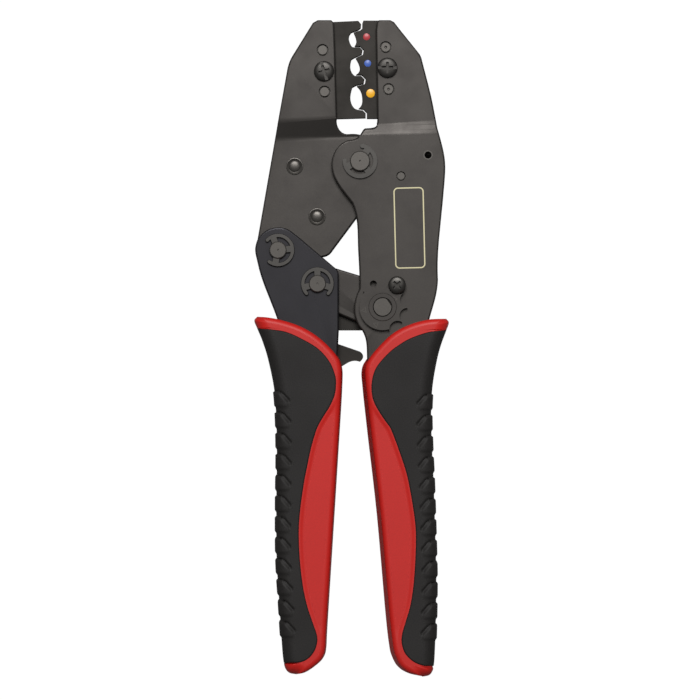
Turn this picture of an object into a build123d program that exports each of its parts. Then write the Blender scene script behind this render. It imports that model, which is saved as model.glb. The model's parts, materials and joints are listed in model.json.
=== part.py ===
"""Ratchet crimping tool for insulated terminals, lying flat with its jaws towards +Y.

The tool is drawn about its main pivot, X across, Y towards the jaws and Z through the plates,
then every piece is saved in the shared frame: origin in the middle of the footprint, on the floor.
Plates come in pairs, front (+Z) and back (-Z), around the dies, the link and the ratchet.
"""
import os
from math import cos, radians, sin

from build123d import *

os.makedirs("parts", exist_ok=True)

# ---------------------------------------------------------------- driving dimensions (mm)
PIVOT = (3.0, 65.73, 11.0)   # main pivot measured from the origin of the shared frame

PLATE_T = 2.5                   # every steel plate
DIE_T = 9.5                     # thickness of both dies
DIE_Z = DIE_T / 2               # inner face of a plate where it holds a die
JAW_Z = 2.9                     # inner face of the jaw and link plates
FRAME_Z = 5.7                   # inner face of the frame and handle plates
FRAME_TOP = FRAME_Z + PLATE_T   # outer face of the frame and handle plates

JAW_AXIS = (0.0, 0.0)           # main pivot
HANDLE_AXIS = (-28.7, -31.15)   # handle on jaw
LINK_AXIS = (-14.9, -42.9)      # link on handle
ADJUST_AXIS = (7.9, -51.1)      # eccentric adjuster on frame
PAWL_AXIS = (-12.6, -71.05)     # ratchet pawl on handle
SPRING_AXIS = (14.35, -5.25)    # frame end of the return spring
SPRING_FOOT = (-15.05, -19.4)   # jaw end of the return spring
PAWL_TAIL = (-13.4, -76.5)      # pawl end of the pawl spring
PAWL_SPRING_AXIS = (-16.0, -94.0)   # handle end of the pawl spring

PIVOT_R, PIN_R = 3.5, 3.0       # main pivot pin, handle and link pins
RUN = 0.05                      # radial running clearance
CLIP_T, CLIP_GAP = 0.8, 0.15    # retaining clip, and its distance from the plate
ECC_R, ECC_THROW = 3.3, 0.35    # eccentric lobe of the adjuster and its offset
LINK_EYE_R = 4.5                # eye of the link around the eccentric
LINK_EYE = (7.5, -50.6)         # middle of that eye with the jaws closed

TEETH_R, TOOTH_H = 16.4, 1.6    # ratchet teeth about the link pin
TOOTH_PITCH, TOOTH_COUNT = 5.6, 11   # degrees, number of teeth

DIE_SCREW_R, DIE_DOWEL_R = 2.0, 2.1
JAW_SCREW, JAW_DOWELS = (-12.6, 31.5), ((-13.1, 38.9), (-12.4, 24.3))
FRAME_SCREW, FRAME_DOWELS = (9.6, 32.7), ((9.0, 39.9), (10.0, 25.2))
RIVET_R, RIVET_HEAD_R = 1.9, 3.0
JAW_RIVETS = ((-22.9, -1.75), SPRING_FOOT)
LOCK_SCREW, SPARE_HOLE = (12.95, -43.4), (4.7, -43.05)
LOCATOR_HOLE, TAP_R = (23.8, 2.1), 1.25
FRAME_RIVETS = ((14.5, -84.0), (17.8, -128.0))
HANDLE_RIVETS = ((-18.5, -110.0), (-18.8, -130.0))

GRIP_Z = 11.0                   # half thickness of the grips
CAVITY_Z = FRAME_TOP + 0.05     # room for the plates inside a grip
SKIN_Z = 9.7                    # inner face of the soft cover
RIB_PITCH, RIB_COUNT = 7.3, 12


# ---------------------------------------------------------------- helpers
def save(part, name):
    """Label one piece, move it into the shared frame and write its file."""
    piece = part.moved(Location(PIVOT))
    piece.label = name
    export_step(piece, f"parts/{name}.step")


def mirrored(part):
    """The back twin of a front piece."""
    return mirror(part, about=Plane.XY)


def outline(*runs):
    """Closed face from runs of points: "line" is straight between points, "curve" is smooth."""
    start = at = runs[0][1][0]
    with BuildSketch() as face:
        with BuildLine():
            for kind, points in runs:
                points = [p for p in points if p != at]
                if kind == "curve":
                    Spline(at, *points)
                else:
                    Polyline(at, *points)
                at = points[-1]
            if at != start:
                Line(at, start)
        make_face()
    return face.sketch


def prism(face, low, high):
    """A flat face made solid between two heights."""
    with BuildPart() as body:
        with BuildSketch(Plane.XY.offset(low)):
            add(face)
        extrude(amount=high - low)
    return body.part


def rod(at, radius, low, high):
    """Plain round bar along Z."""
    with BuildPart() as body:
        with BuildSketch(Plane.XY.offset(low)):
            with Locations(at):
                Circle(radius)
        extrude(amount=high - low)
    return body.part


def ring(at, outer, inner, low, high):
    """Plain round tube along Z."""
    with BuildPart() as body:
        with BuildSketch(Plane.XY.offset(low)):
            with Locations(at):
                Circle(outer)
                Circle(inner, mode=Mode.SUBTRACT)
        extrude(amount=high - low)
    return body.part


def bent_plate(face, section, slant):
    """Plate with one joggle: the side section swept across at a slant, trimmed to the face."""
    turn = radians(slant)
    side = Plane((0, 0, 0), x_dir=(-sin(turn), cos(turn), 0), z_dir=(cos(turn), sin(turn), 0))
    with BuildPart() as body:
        with BuildSketch(side):
            Polygon(*section, align=None)
            bends = [v for v in section if abs(v[0]) < 40]
            corners = [v for v in vertices() if any(abs(v.Z - z) < 1e-3 for _, z in bends)
                       and abs(v.Y) < 40]
            fillet(corners, radius=1.2)
        extrude(amount=60, both=True)
    return body.part & prism(face, -15, 15)


def drilled(part, holes):
    """The part with round through holes, each given as (x, y) and a radius."""
    for at, radius in holes:
        part = part - rod(at, radius, -15, 15)
    return part


def retaining_clip(at, outer, inner, groove, low, opening):
    """E shaped clip: a ring with a mouth and three lugs that reach the groove of the pin."""
    with BuildPart() as body:
        with BuildSketch(Plane.XY.offset(low)):
            with Locations(at):
                Circle(outer)
                Circle(inner, mode=Mode.SUBTRACT)
            for lug in (opening + 74, opening + 180, opening + 286):
                reach = (inner + groove) / 2
                place = (at[0] + reach * cos(radians(lug)), at[1] + reach * sin(radians(lug)))
                with Locations(Location(place, lug)):
                    Rectangle(inner - groove + 0.8, 2.4)
            with Locations(at):
                Circle(groove, mode=Mode.SUBTRACT)
            Polygon(at, *[(at[0] + 2 * outer * cos(radians(opening + turn)),
                           at[1] + 2 * outer * sin(radians(opening + turn)))
                          for turn in (-48, -20, 20, 48)], align=None, mode=Mode.SUBTRACT)
            for turn in (-48, 48):
                middle = (outer + inner) / 2
                with Locations((at[0] + middle * cos(radians(opening + turn)),
                                at[1] + middle * sin(radians(opening + turn)))):
                    Circle((outer - inner) / 2)
        extrude(amount=CLIP_T)
    return body.part


def clipped_pin(at, radius, head_r, back, front):
    """Headed pin with its head on the back and a groove for a retaining clip on the front."""
    low = FRAME_TOP + CLIP_GAP
    groove = ring(at, radius + 1, radius - 0.8, low - 0.1, low + CLIP_T + 0.1)
    with BuildPart() as body:
        add(rod(at, radius, -FRAME_TOP, front))
        add(rod(at, head_r, back, -FRAME_TOP))
        chamfer(body.faces().sort_by(Axis.Z)[-1].edges(), 0.35)
        chamfer(body.faces().sort_by(Axis.Z)[0].edges(), 0.5)
        add(groove, mode=Mode.SUBTRACT)
    return body.part


def rivet(at, face):
    """Domed rivet with a shallow collar on both outer faces."""
    with BuildPart() as body:
        add(rod(at, RIVET_R, -face, face))
        for side in (1, -1):
            with BuildSketch(Plane.XY.offset(side * face)):
                with Locations(at):
                    Circle(RIVET_HEAD_R)
            extrude(amount=side * 0.35)
            with BuildSketch(Plane.XY.offset(side * (face + 0.35))):
                with Locations(at):
                    Circle(RIVET_R)
            extrude(amount=side * 0.5, taper=35)
    return body.part


def die_screw(at, shank_back, socket_turn):
    """Pan head machine screw with a straight slot."""
    top = DIE_Z + PLATE_T
    with BuildPart() as body:
        add(rod(at, DIE_SCREW_R, shank_back, top))
        add(rod(at, 3.5, top, top + 1.7))
        fillet(body.faces().sort_by(Axis.Z)[-1].edges(), 0.7)
        with BuildSketch(Plane.XY.offset(top + 1.7)):
            with Locations(Location(at, socket_turn)):
                Rectangle(7.2, 0.9)
        extrude(amount=-0.9, mode=Mode.SUBTRACT)
    return body.part


def hex_nut(at, high):
    """Hexagon nut against the back plate."""
    with BuildPart() as body:
        with BuildSketch(Plane.XY.offset(high - 2.9)):
            with Locations(at):
                RegularPolygon(radius=3.5, side_count=6, major_radius=False)
                Circle(DIE_SCREW_R, mode=Mode.SUBTRACT)
        extrude(amount=2.9)
    return body.part


def tension_spring(start, end, coil_r, wire_r, eye_start, eye_end, near, far):
    """Close coil with an eye at each end, lying in the middle plane.

    The end eye is lengthened so that its post can slide from near to far along the spring.
    """
    run = Vector(*end) - Vector(*start)
    length = run.length
    lie = Plane(origin=(*start, 0), x_dir=(run.X, run.Y, 0), z_dir=(0, 0, 1))
    first, last = eye_start + wire_r, length - near - eye_end - 2.2
    with BuildPart() as body:
        with BuildSketch(lie):
            Circle(eye_start + 2 * wire_r)
            Circle(eye_start, mode=Mode.SUBTRACT)
            with Locations((length + (far - near) / 2, 0)):
                SlotCenterToCenter(near + far, 2 * eye_end + 4 * wire_r)
                SlotCenterToCenter(near + far, 2 * eye_end, mode=Mode.SUBTRACT)
            with Locations((last + 0.8, 0)):
                Rectangle(2.6, 2 * wire_r)
        extrude(amount=wire_r, both=True)
        coil = Plane(origin=lie.from_local_coords(Vector(first, 0, 0)),
                     z_dir=lie.x_dir, x_dir=(0, 0, 1))
        with BuildSketch(coil):
            Circle(coil_r)
        extrude(amount=last - first)
        turns = int((last - first - 2 * wire_r) / (2 * wire_r))
        pitch = (last - first) / (turns + 1)
        for turn in range(turns):
            with BuildSketch(coil.offset((turn + 1) * pitch)):
                Circle(coil_r + 0.1)
                Circle(coil_r - 0.28, mode=Mode.SUBTRACT)
            extrude(amount=0.09, both=True, mode=Mode.SUBTRACT)
    return body.part


# ---------------------------------------------------------------- outlines
FRAME_FACE = outline(
    ("line", [(6.7, 49.35), (10.6, 49.35), (11.9, 48.7), (14.0, 46.0), (20.2, 38.3)]),
    ("curve", [(20.2, 38.3), (21.2, 36.8), (21.9, 34.6), (24.9, 22.7), (27.1, 11.5)]),
    ("curve", [(27.1, 11.5), (29.0, 4.4), (29.7, 0.5), (29.5, -8.4), (28.7, -17.2), (27.3, -41.7)]),
    ("curve", [(27.3, -41.7), (26.2, -48.7), (24.2, -55.7), (22.4, -69.7), (21.0, -83.7)]),
    ("line", [(21.0, -83.7), (21.7, -138.0), (14.6, -138.0), (11.2, -111.7), (6.0, -83.7)]),
    ("curve", [(6.0, -83.7), (3.4, -76.0), (2.5, -69.7), (2.1, -62.7), (0.7, -59.2)]),
    ("curve", [(0.7, -59.2), (-1.2, -56.4), (-2.1, -51.5), (-1.6, -48.3), (-0.2, -44.6)]),
    ("curve", [(-0.2, -44.6), (-0.2, -39.9), (-0.7, -29.4), (-1.4, -19.0), (-2.8, -14.7)]),
    ("curve", [(-2.8, -14.7), (-6.5, -10.0), (-9.1, -5.6), (-10.0, -1.4), (-8.4, 4.0), (-3.5, 7.4)]),
    ("curve", [(-3.5, 7.4), (-0.7, 8.4), (0.4, 9.7), (1.3, 11.1), (2.4, 11.5)]),
    ("line", [(2.4, 11.5), (4.4, 11.6)]),
    ("curve", [(4.4, 11.6), (5.6, 12.2), (6.1, 13.6)]),
    ("line", [(6.1, 13.6), (5.5, 45.9), (5.9, 48.6)]),
)
JAW_FACE = outline(
    ("line", [(-14.8, 49.35), (-10.1, 49.35), (-9.1, 48.4), (-8.7, 38.9), (-8.1, 15.0)]),
    ("curve", [(-8.1, 15.0), (-7.9, 12.3), (-6.6, 10.3), (-3.9, 9.5)]),
    ("curve", [(-3.9, 9.5), (-0.2, 9.3), (2.5, 8.5), (6.2, 7.0), (10.0, 2.0), (9.6, -4.8),
               (5.0, -11.0)]),
    ("line", [(5.0, -11.0), (-1.4, -20.3), (-9.6, -31.3)]),
    ("curve", [(-9.6, -31.3), (-11.1, -32.9), (-13.2, -33.6)]),
    ("line", [(-13.2, -33.6), (-24.4, -37.9)]),
    ("curve", [(-24.4, -37.9), (-28.7, -39.1), (-33.9, -37.2), (-36.4, -32.6), (-35.9, -27.4)]),
    ("line", [(-35.9, -27.4), (-33.6, -14.7), (-29.0, 12.3), (-25.4, 32.4)]),
    ("curve", [(-25.4, 32.4), (-24.8, 34.5), (-23.8, 36.6)]),
    ("line", [(-23.8, 36.6), (-16.5, 48.4)]),
)
HANDLE_FACE = outline(
    ("curve", [(-36.6, -32.4), (-36.2, -28.4), (-33.4, -24.7), (-28.7, -23.2), (-24.2, -24.5)]),
    ("line", [(-24.2, -24.5), (-21.0, -27.0), (-9.0, -37.2)]),
    ("curve", [(-9.0, -37.2), (-7.8, -38.5), (-7.4, -40.2)]),
    ("line", [(-7.4, -40.2), (-7.4, -59.0), (-8.0, -70.0), (-9.3, -83.7), (-12.2, -111.7),
              (-14.6, -138.0), (-23.2, -138.0), (-24.9, -111.7), (-25.6, -83.7), (-27.2, -62.0)]),
    ("curve", [(-27.2, -62.0), (-28.9, -55.5), (-32.2, -46.9), (-35.3, -38.0)]),
    ("line", [(-35.3, -38.0), (-36.6, -32.4)]),
)
MOVING_DIE_FACE = outline(
    ("line", [(-17.5, 15.2), (-17.5, 45.9), (-15.9, 48.5), (-0.6, 49.2), (0.4, 48.0),
              (0.3, 46.8), (-0.7, 46.0), (-3.0, 45.2)]),
    ("curve", [(-3.0, 45.2), (-3.7, 44.2), (-3.5, 41.3), (-2.8, 40.1)]),
    ("line", [(-2.8, 40.1), (-2.1, 39.9), (0.0, 39.9), (0.9, 38.9), (0.6, 37.5), (-1.8, 36.4),
              (-3.0, 35.7)]),
    ("curve", [(-3.0, 35.7), (-3.4, 33.5), (-3.1, 31.5), (-1.8, 29.9)]),
    ("line", [(-1.8, 29.9), (0.4, 29.9), (1.6, 28.7), (1.3, 27.3), (-1.4, 26.6), (-2.7, 25.9)]),
    ("curve", [(-2.7, 25.9), (-3.2, 24.0), (-3.2, 20.8), (-1.8, 18.4)]),
    ("line", [(-1.8, 18.4), (-0.7, 18.0), (1.0, 17.8), (2.0, 16.8), (2.0, 15.2), (-8.0, 14.9)]),
)
FIXED_DIE_FACE = outline(
    ("line", [(16.0, 42.8), (11.6, 48.2), (10.2, 49.3), (1.2, 49.3), (0.8, 48.2), (0.8, 46.5),
              (0.1, 45.85), (-2.2, 45.05)]),
    ("curve", [(-2.2, 45.05), (-1.5, 43.4), (-1.3, 41.7), (-1.9, 40.3)]),
    ("line", [(-1.9, 40.3), (0.1, 40.3), (1.3, 39.0), (1.0, 37.3), (-1.5, 36.1)]),
    ("curve", [(-1.5, 36.1), (-0.5, 34.3), (-0.1, 32.0), (-1.4, 30.3)]),
    ("line", [(-1.4, 30.3), (0.6, 30.3), (2.0, 28.9), (1.7, 27.05), (-1.1, 26.3)]),
    ("curve", [(-1.1, 26.3), (0.3, 24.5), (0.8, 21.8), (0.6, 19.9), (-0.5, 18.45)]),
    ("line", [(-0.5, 18.45), (1.2, 18.2), (2.4, 17.0), (2.4, 15.0), (16.0, 15.0)]),
)
LEFT_GRIP_FACE = outline(
    ("line", [(-36.9, -55.6), (-35.9, -54.5)]),
    ("curve", [(-35.9, -54.5), (-32.0, -54.8), (-26.3, -56.0), (-20.0, -58.3), (-14.0, -62.1),
               (-8.6, -67.4), (-6.4, -71.6), (-6.2, -79.0), (-7.6, -102.6), (-9.4, -131.3),
               (-11.4, -163.0), (-12.0, -171.5), (-15.4, -176.7), (-22.5, -179.7),
               (-26.2, -177.3), (-27.3, -170.0), (-28.4, -154.4), (-29.3, -128.0),
               (-29.2, -103.3), (-29.8, -82.0), (-32.3, -69.0), (-36.0, -58.6)]),
)
LEFT_COVER_FACE = outline(
    ("curve", [(-35.8, -58.9), (-31.5, -59.0), (-25.9, -59.8), (-20.0, -62.4), (-14.5, -65.8),
               (-10.6, -70.3), (-8.5, -77.3)]),
    ("curve", [(-8.5, -77.3), (-10.2, -85.3), (-15.1, -93.8), (-18.4, -106.6), (-21.0, -122.2),
               (-21.2, -136.0), (-18.5, -155.8), (-15.2, -165.5)]),
    ("curve", [(-15.2, -165.5), (-15.0, -169.0), (-17.6, -173.6), (-21.0, -175.4)]),
    ("line", [(-21.0, -175.4), (-40.0, -175.4), (-40.0, -58.9)]),
)
RIGHT_GRIP_FACE = outline(
    ("line", [(31.1, -56.3), (30.1, -55.2)]),
    ("curve", [(30.1, -55.2), (24.0, -55.5), (17.5, -57.2), (12.0, -60.0), (7.0, -64.3),
               (2.4, -69.3), (0.6, -73.2), (0.9, -79.5), (2.7, -96.0), (5.9, -123.9),
               (8.9, -158.0), (10.1, -170.0), (13.6, -177.0), (20.4, -180.6),
               (24.8, -178.4), (26.2, -172.0), (26.7, -148.0), (25.8, -113.0),
               (25.0, -88.0), (26.8, -70.5), (30.2, -59.4)]),
)
RIGHT_COVER_FACE = outline(
    ("curve", [(29.9, -59.4), (22.8, -60.2), (17.5, -62.0), (10.5, -66.7), (6.0, -72.0),
               (4.0, -79.5)]),
    ("curve", [(4.0, -79.5), (6.3, -87.2), (10.9, -94.2), (16.8, -111.7), (19.4, -128.0),
               (18.9, -146.0), (15.5, -162.5), (14.6, -168.5)]),
    ("curve", [(14.6, -168.5), (16.4, -173.4), (22.4, -176.7)]),
    ("line", [(22.4, -176.7), (40.0, -176.7), (40.0, -59.4)]),
)
LEFT_CORE_EDGE = outline(
    ("line", [(-33.0, -50.0), (-32.4, -62.0), (-29.0, -71.0), (-26.7, -82.0), (-26.1, -103.0),
              (-26.1, -128.0), (-25.2, -150.0), (-24.0, -190.0), (5.0, -190.0), (5.0, -50.0)]),
)
RIGHT_CORE_EDGE = outline(
    ("line", [(27.0, -50.0), (26.4, -62.0), (23.9, -71.0), (22.1, -84.0), (22.5, -106.0),
              (23.3, -135.0), (23.4, -150.0), (23.0, -190.0), (-5.0, -190.0), (-5.0, -50.0)]),
)

FRAME_SECTION = [(60, DIE_Z + PLATE_T), (12.7, DIE_Z + PLATE_T), (9.5, FRAME_TOP),
                 (-150, FRAME_TOP), (-150, FRAME_Z), (10.0, FRAME_Z), (13.2, DIE_Z), (60, DIE_Z)]
JAW_SECTION = [(60, DIE_Z + PLATE_T), (15.6, DIE_Z + PLATE_T), (9.1, JAW_Z + PLATE_T),
               (-60, JAW_Z + PLATE_T), (-60, JAW_Z), (8.5, JAW_Z), (15.0, DIE_Z), (60, DIE_Z)]


# ---------------------------------------------------------------- fixed side
frame_bores = [(JAW_AXIS, PIVOT_R), (SPRING_AXIS, 1.65), (FRAME_SCREW, DIE_SCREW_R)]
frame_bores += [(at, DIE_DOWEL_R) for at in FRAME_DOWELS]
frame_bores += [(at, RIVET_R) for at in FRAME_RIVETS]
frame_blank = bent_plate(FRAME_FACE, FRAME_SECTION, 2)
frame_plate_front = drilled(frame_blank, frame_bores + [
    (ADJUST_AXIS, 3.75), (LOCK_SCREW, 1.45), (SPARE_HOLE, TAP_R), (LOCATOR_HOLE, TAP_R)])
frame_plate_back = drilled(mirrored(frame_blank), frame_bores + [(ADJUST_AXIS, 2.8)])
save(frame_plate_front, "frame_plate_front")
save(frame_plate_back, "frame_plate_back")

die_holes = [(FRAME_SCREW, DIE_SCREW_R)] + [(at, DIE_DOWEL_R) for at in FRAME_DOWELS]
save(drilled(prism(FIXED_DIE_FACE, -DIE_Z, DIE_Z), die_holes), "fixed_die")
save(die_screw(FRAME_SCREW, -DIE_Z - PLATE_T - 3.2, 0), "fixed_die_screw")
save(hex_nut(FRAME_SCREW, -DIE_Z - PLATE_T), "fixed_die_nut")
for name, at in zip(("upper", "lower"), FRAME_DOWELS):
    save(rod(at, DIE_DOWEL_R, -DIE_Z - PLATE_T, DIE_Z + PLATE_T), f"fixed_die_dowel_{name}")
for name, at, radius in (("red", (2.3, 43.6), 1.2), ("blue", (2.7, 34.3), 1.2),
                         ("yellow", (3.7, 23.8), 1.5)):
    save(rod(at, radius, DIE_Z, DIE_Z + 0.15), f"mark_{name}")

save(clipped_pin(JAW_AXIS, PIVOT_R, 5.5, -GRIP_Z, 10.0), "main_pivot_pin")
save(retaining_clip(JAW_AXIS, 6.1, 4.6, 2.7, FRAME_TOP + CLIP_GAP, 130), "main_pivot_clip")
save(rod(SPRING_AXIS, 1.65, -FRAME_TOP, FRAME_TOP), "frame_spring_pin")
save(ring(SPRING_AXIS, 2.4, 1.65, -FRAME_Z, FRAME_Z), "frame_spring_sleeve")
for name, at in zip(("upper", "lower"), FRAME_RIVETS):
    with BuildPart() as grip_rivet:
        add(rod(at, RIVET_R, -FRAME_TOP, FRAME_TOP))
        add(rod(at, RIVET_R + 1.5, -FRAME_Z, FRAME_Z))
    save(grip_rivet.part, f"frame_rivet_{name}")

# ---------------------------------------------------------------- adjuster and its lock screw
WHEEL_R, WHEEL_T = 8.7, 1.8
wheel_low = FRAME_TOP + 0.1
with BuildPart() as wheel:
    add(rod(ADJUST_AXIS, WHEEL_R, wheel_low, wheel_low + WHEEL_T))
    add(rod(ADJUST_AXIS, 4.9, wheel_low + WHEEL_T, wheel_low + WHEEL_T + 0.3))
    chamfer(wheel.faces().sort_by(Axis.Z)[-1].edges(), 0.15)
    with BuildSketch(Plane.XY.offset(wheel_low)):
        for step in range(-3, 3):
            turn = radians(51.5 + 35.7 * step)
            with Locations((ADJUST_AXIS[0] + 9.3 * cos(turn), ADJUST_AXIS[1] + 9.3 * sin(turn))):
                Circle(2.85)
        with Locations(ADJUST_AXIS):
            Circle(3.4)
    extrude(amount=WHEEL_T + 0.3, mode=Mode.SUBTRACT)
    with BuildSketch(Plane.XY.offset(wheel_low)):
        with Locations(ADJUST_AXIS):
            Circle(9.5)
            Circle(8.1, mode=Mode.SUBTRACT)
            Polygon((0, 0), *[(14 * cos(radians(a)), 14 * sin(radians(a)))
                              for a in (141, 175, 210, 245, 286)],
                    align=None, mode=Mode.INTERSECT)
    extrude(amount=WHEEL_T + 0.3, mode=Mode.SUBTRACT)
save(wheel.part, "adjuster_wheel")

lobe_at = (ADJUST_AXIS[0] - ECC_THROW, ADJUST_AXIS[1])
rear_low = -FRAME_TOP - CLIP_GAP - CLIP_T
with BuildPart() as shaft:
    add(rod(ADJUST_AXIS, 2.75, rear_low - 0.8, -FRAME_Z + 0.1))
    add(rod(lobe_at, ECC_R, -FRAME_Z + 0.1, FRAME_Z - 0.1))
    add(rod(ADJUST_AXIS, 3.7, FRAME_Z - 0.1, FRAME_TOP + 0.05))
    add(rod(ADJUST_AXIS, 3.4, FRAME_TOP + 0.05, wheel_low + WHEEL_T + 0.9))
    chamfer(shaft.faces().sort_by(Axis.Z)[-1].edges(), 0.3)
    with BuildSketch(Plane.XY.offset(wheel_low + WHEEL_T + 0.3)):
        with Locations(Location(ADJUST_AXIS, 35)):
            with Locations((4.2, 0)):
                Rectangle(3, 8)
    extrude(amount=2, mode=Mode.SUBTRACT)
    add(ring(ADJUST_AXIS, 4, 2.1, rear_low - 0.1, rear_low + CLIP_T + 0.1), mode=Mode.SUBTRACT)
save(shaft.part, "eccentric_shaft")
save(retaining_clip(ADJUST_AXIS, 5.2, 3.9, 2.1, rear_low, 270), "eccentric_clip")

with BuildPart() as lock:
    screw_low = wheel_low + WHEEL_T + 0.15
    add(rod(LOCK_SCREW, 1.45, FRAME_Z, screw_low))
    add(rod(LOCK_SCREW, 3.05, screw_low, screw_low + 1.5))
    fillet(lock.faces().sort_by(Axis.Z)[-1].edges(), 0.6)
    with BuildSketch(Plane.XY.offset(screw_low + 1.5)):
        with Locations(Location(LOCK_SCREW, 20)):
            Rectangle(4.2, 0.7)
            Rectangle(0.7, 4.2)
    extrude(amount=-0.9, mode=Mode.SUBTRACT)
save(lock.part, "lock_screw")

# ---------------------------------------------------------------- moving jaw
jaw_bores = [(JAW_AXIS, PIVOT_R + RUN), (HANDLE_AXIS, PIN_R + RUN), (JAW_SCREW, DIE_SCREW_R)]
jaw_bores += [(at, DIE_DOWEL_R) for at in JAW_DOWELS] + [(at, RIVET_R) for at in JAW_RIVETS]
jaw_plate = drilled(bent_plate(JAW_FACE, JAW_SECTION, 3), jaw_bores)
save(jaw_plate, "jaw_plate_front")
save(mirrored(jaw_plate), "jaw_plate_back")

die_holes = [(JAW_SCREW, DIE_SCREW_R)] + [(at, DIE_DOWEL_R) for at in JAW_DOWELS]
save(drilled(prism(MOVING_DIE_FACE, -DIE_Z, DIE_Z), die_holes), "moving_die")
save(die_screw(JAW_SCREW, -DIE_Z - PLATE_T - 3.2, 108), "moving_die_screw")
save(hex_nut(JAW_SCREW, -DIE_Z - PLATE_T), "moving_die_nut")
for name, at in zip(("upper", "lower"), JAW_DOWELS):
    save(rod(at, DIE_DOWEL_R, -DIE_Z - PLATE_T, DIE_Z + PLATE_T), f"moving_die_dowel_{name}")
for name, at in zip(("upper", "lower"), JAW_RIVETS):
    save(rivet(at, JAW_Z + PLATE_T), f"jaw_rivet_{name}")
    save(ring(at, 2.6, RIVET_R, -JAW_Z, JAW_Z), f"jaw_spacer_{name}")

# ---------------------------------------------------------------- return spring
save(tension_spring(SPRING_AXIS, SPRING_FOOT, 2.4, 0.6, 2.7, 2.9, 3.0, 0.1), "return_spring")

# ---------------------------------------------------------------- handle
handle_bores = [(HANDLE_AXIS, PIN_R), (LINK_AXIS, PIN_R), (PAWL_AXIS, 2.5),
                (PAWL_SPRING_AXIS, 1.2)] + [(at, RIVET_R) for at in HANDLE_RIVETS]
handle_plate = drilled(prism(HANDLE_FACE, FRAME_Z, FRAME_TOP), handle_bores)
save(handle_plate, "handle_plate_front")
save(mirrored(handle_plate), "handle_plate_back")
for name, at, opening in (("handle_pivot_pin", HANDLE_AXIS, 185), ("link_pin", LINK_AXIS, 270)):
    save(clipped_pin(at, PIN_R, 4.6, -10.4, 9.7), name)
    save(retaining_clip(at, 5.8, 4.4, PIN_R - 0.8, FRAME_TOP + CLIP_GAP, opening), f"{name}_clip")
save(rod(PAWL_AXIS, 2.5, -FRAME_TOP, FRAME_TOP), "pawl_pin")
save(rod(PAWL_SPRING_AXIS, 1.2, -FRAME_TOP, FRAME_TOP), "pawl_spring_pin")
for name, at in zip(("upper", "lower"), HANDLE_RIVETS):
    with BuildPart() as grip_rivet:
        add(rod(at, RIVET_R, -FRAME_TOP, FRAME_TOP))
        add(rod(at, RIVET_R + 1.5, -FRAME_Z, FRAME_Z))
    save(grip_rivet.part, f"handle_rivet_{name}")

# ---------------------------------------------------------------- link with its ratchet
with BuildSketch() as link_face:
    with Locations(LINK_AXIS):
        Circle(7.0)
    with Locations(ADJUST_AXIS):
        Circle(8.2)
    make_hull()
link_holes = [(LINK_AXIS, PIN_R + RUN), (LINK_EYE, LINK_EYE_R)]
LINK_RIVETS = ((-9.2, -41.5), (1.6, -46.2))
link_holes += [(at, 1.2) for at in LINK_RIVETS]
link_plate = drilled(prism(link_face.sketch, JAW_Z, JAW_Z + PLATE_T), link_holes)
save(link_plate, "link_plate_front")
save(mirrored(link_plate), "link_plate_back")
for name, at in zip(("upper", "lower"), LINK_RIVETS):
    save(rod(at, 1.2, -JAW_Z - PLATE_T, JAW_Z + PLATE_T), f"link_rivet_{name}")


def around_link(radius, turn):
    """Point at a radius and an angle about the link pin."""
    return (LINK_AXIS[0] + radius * cos(radians(turn)), LINK_AXIS[1] + radius * sin(radians(turn)))


with BuildSketch() as ratchet_face:
    add(link_face.sketch)
    Polygon(LINK_AXIS, *[around_link(30, a) for a in (202, 225, 248, 270)], align=None)
    with Locations(LINK_AXIS):
        Circle(TEETH_R, mode=Mode.INTERSECT)
    add(link_face.sketch)
    Polygon(LINK_AXIS, around_link(TEETH_R, 270), (ADJUST_AXIS[0], LINK_AXIS[1] - TEETH_R),
            ADJUST_AXIS, align=None)
    for tooth in range(TOOTH_COUNT):
        turn = 266 - tooth * TOOTH_PITCH
        Polygon(around_link(TEETH_R + 0.2, turn - 2.1), around_link(TEETH_R - TOOTH_H, turn),
                around_link(TEETH_R + 0.2, turn + 2.1), align=None, mode=Mode.SUBTRACT)
save(drilled(prism(ratchet_face.sketch, -JAW_Z, JAW_Z), link_holes), "ratchet_plate")

# ---------------------------------------------------------------- pawl and its spring
PAWL_FACE = outline(
    ("curve", [(-13.9, -67.1), (-12.6, -62.6), (-10.4, -60.0)]),
    ("curve", [(-10.4, -60.0), (-9.2, -62.2), (-7.5, -64.1)]),
    ("line", [(-7.5, -64.1), (-3.5, -65.5), (0.0, -66.7)]),
    ("curve", [(0.0, -66.7), (1.1, -68.2), (0.0, -70.3)]),
    ("curve", [(0.0, -70.3), (-4.0, -70.5), (-6.0, -71.7), (-9.2, -73.7), (-11.8, -77.6)]),
    ("curve", [(-11.8, -77.6), (-13.4, -78.6), (-15.0, -77.4)]),
    ("curve", [(-15.0, -77.4), (-16.6, -72.3), (-13.9, -67.1)]),
)
with BuildPart() as pawl:
    add(prism(PAWL_FACE, -2.4, 2.4))
    add(rod(PAWL_AXIS, 3.9, -FRAME_Z + 0.3, FRAME_Z - 0.3))
    add(rod(PAWL_AXIS, 2.5 + RUN, -15, 15), mode=Mode.SUBTRACT)
    with BuildSketch(Plane.XY.offset(-0.9)):
        with Locations(PAWL_TAIL):
            Rectangle(7, 5.0)
    extrude(amount=1.8, mode=Mode.SUBTRACT)
    add(rod(PAWL_TAIL, 0.8, -1.2, 1.2))
save(pawl.part, "ratchet_pawl")
save(tension_spring(PAWL_SPRING_AXIS, PAWL_TAIL, 1.5, 0.35, 1.5, 1.0, 0.2, 0.6), "pawl_spring")


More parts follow.
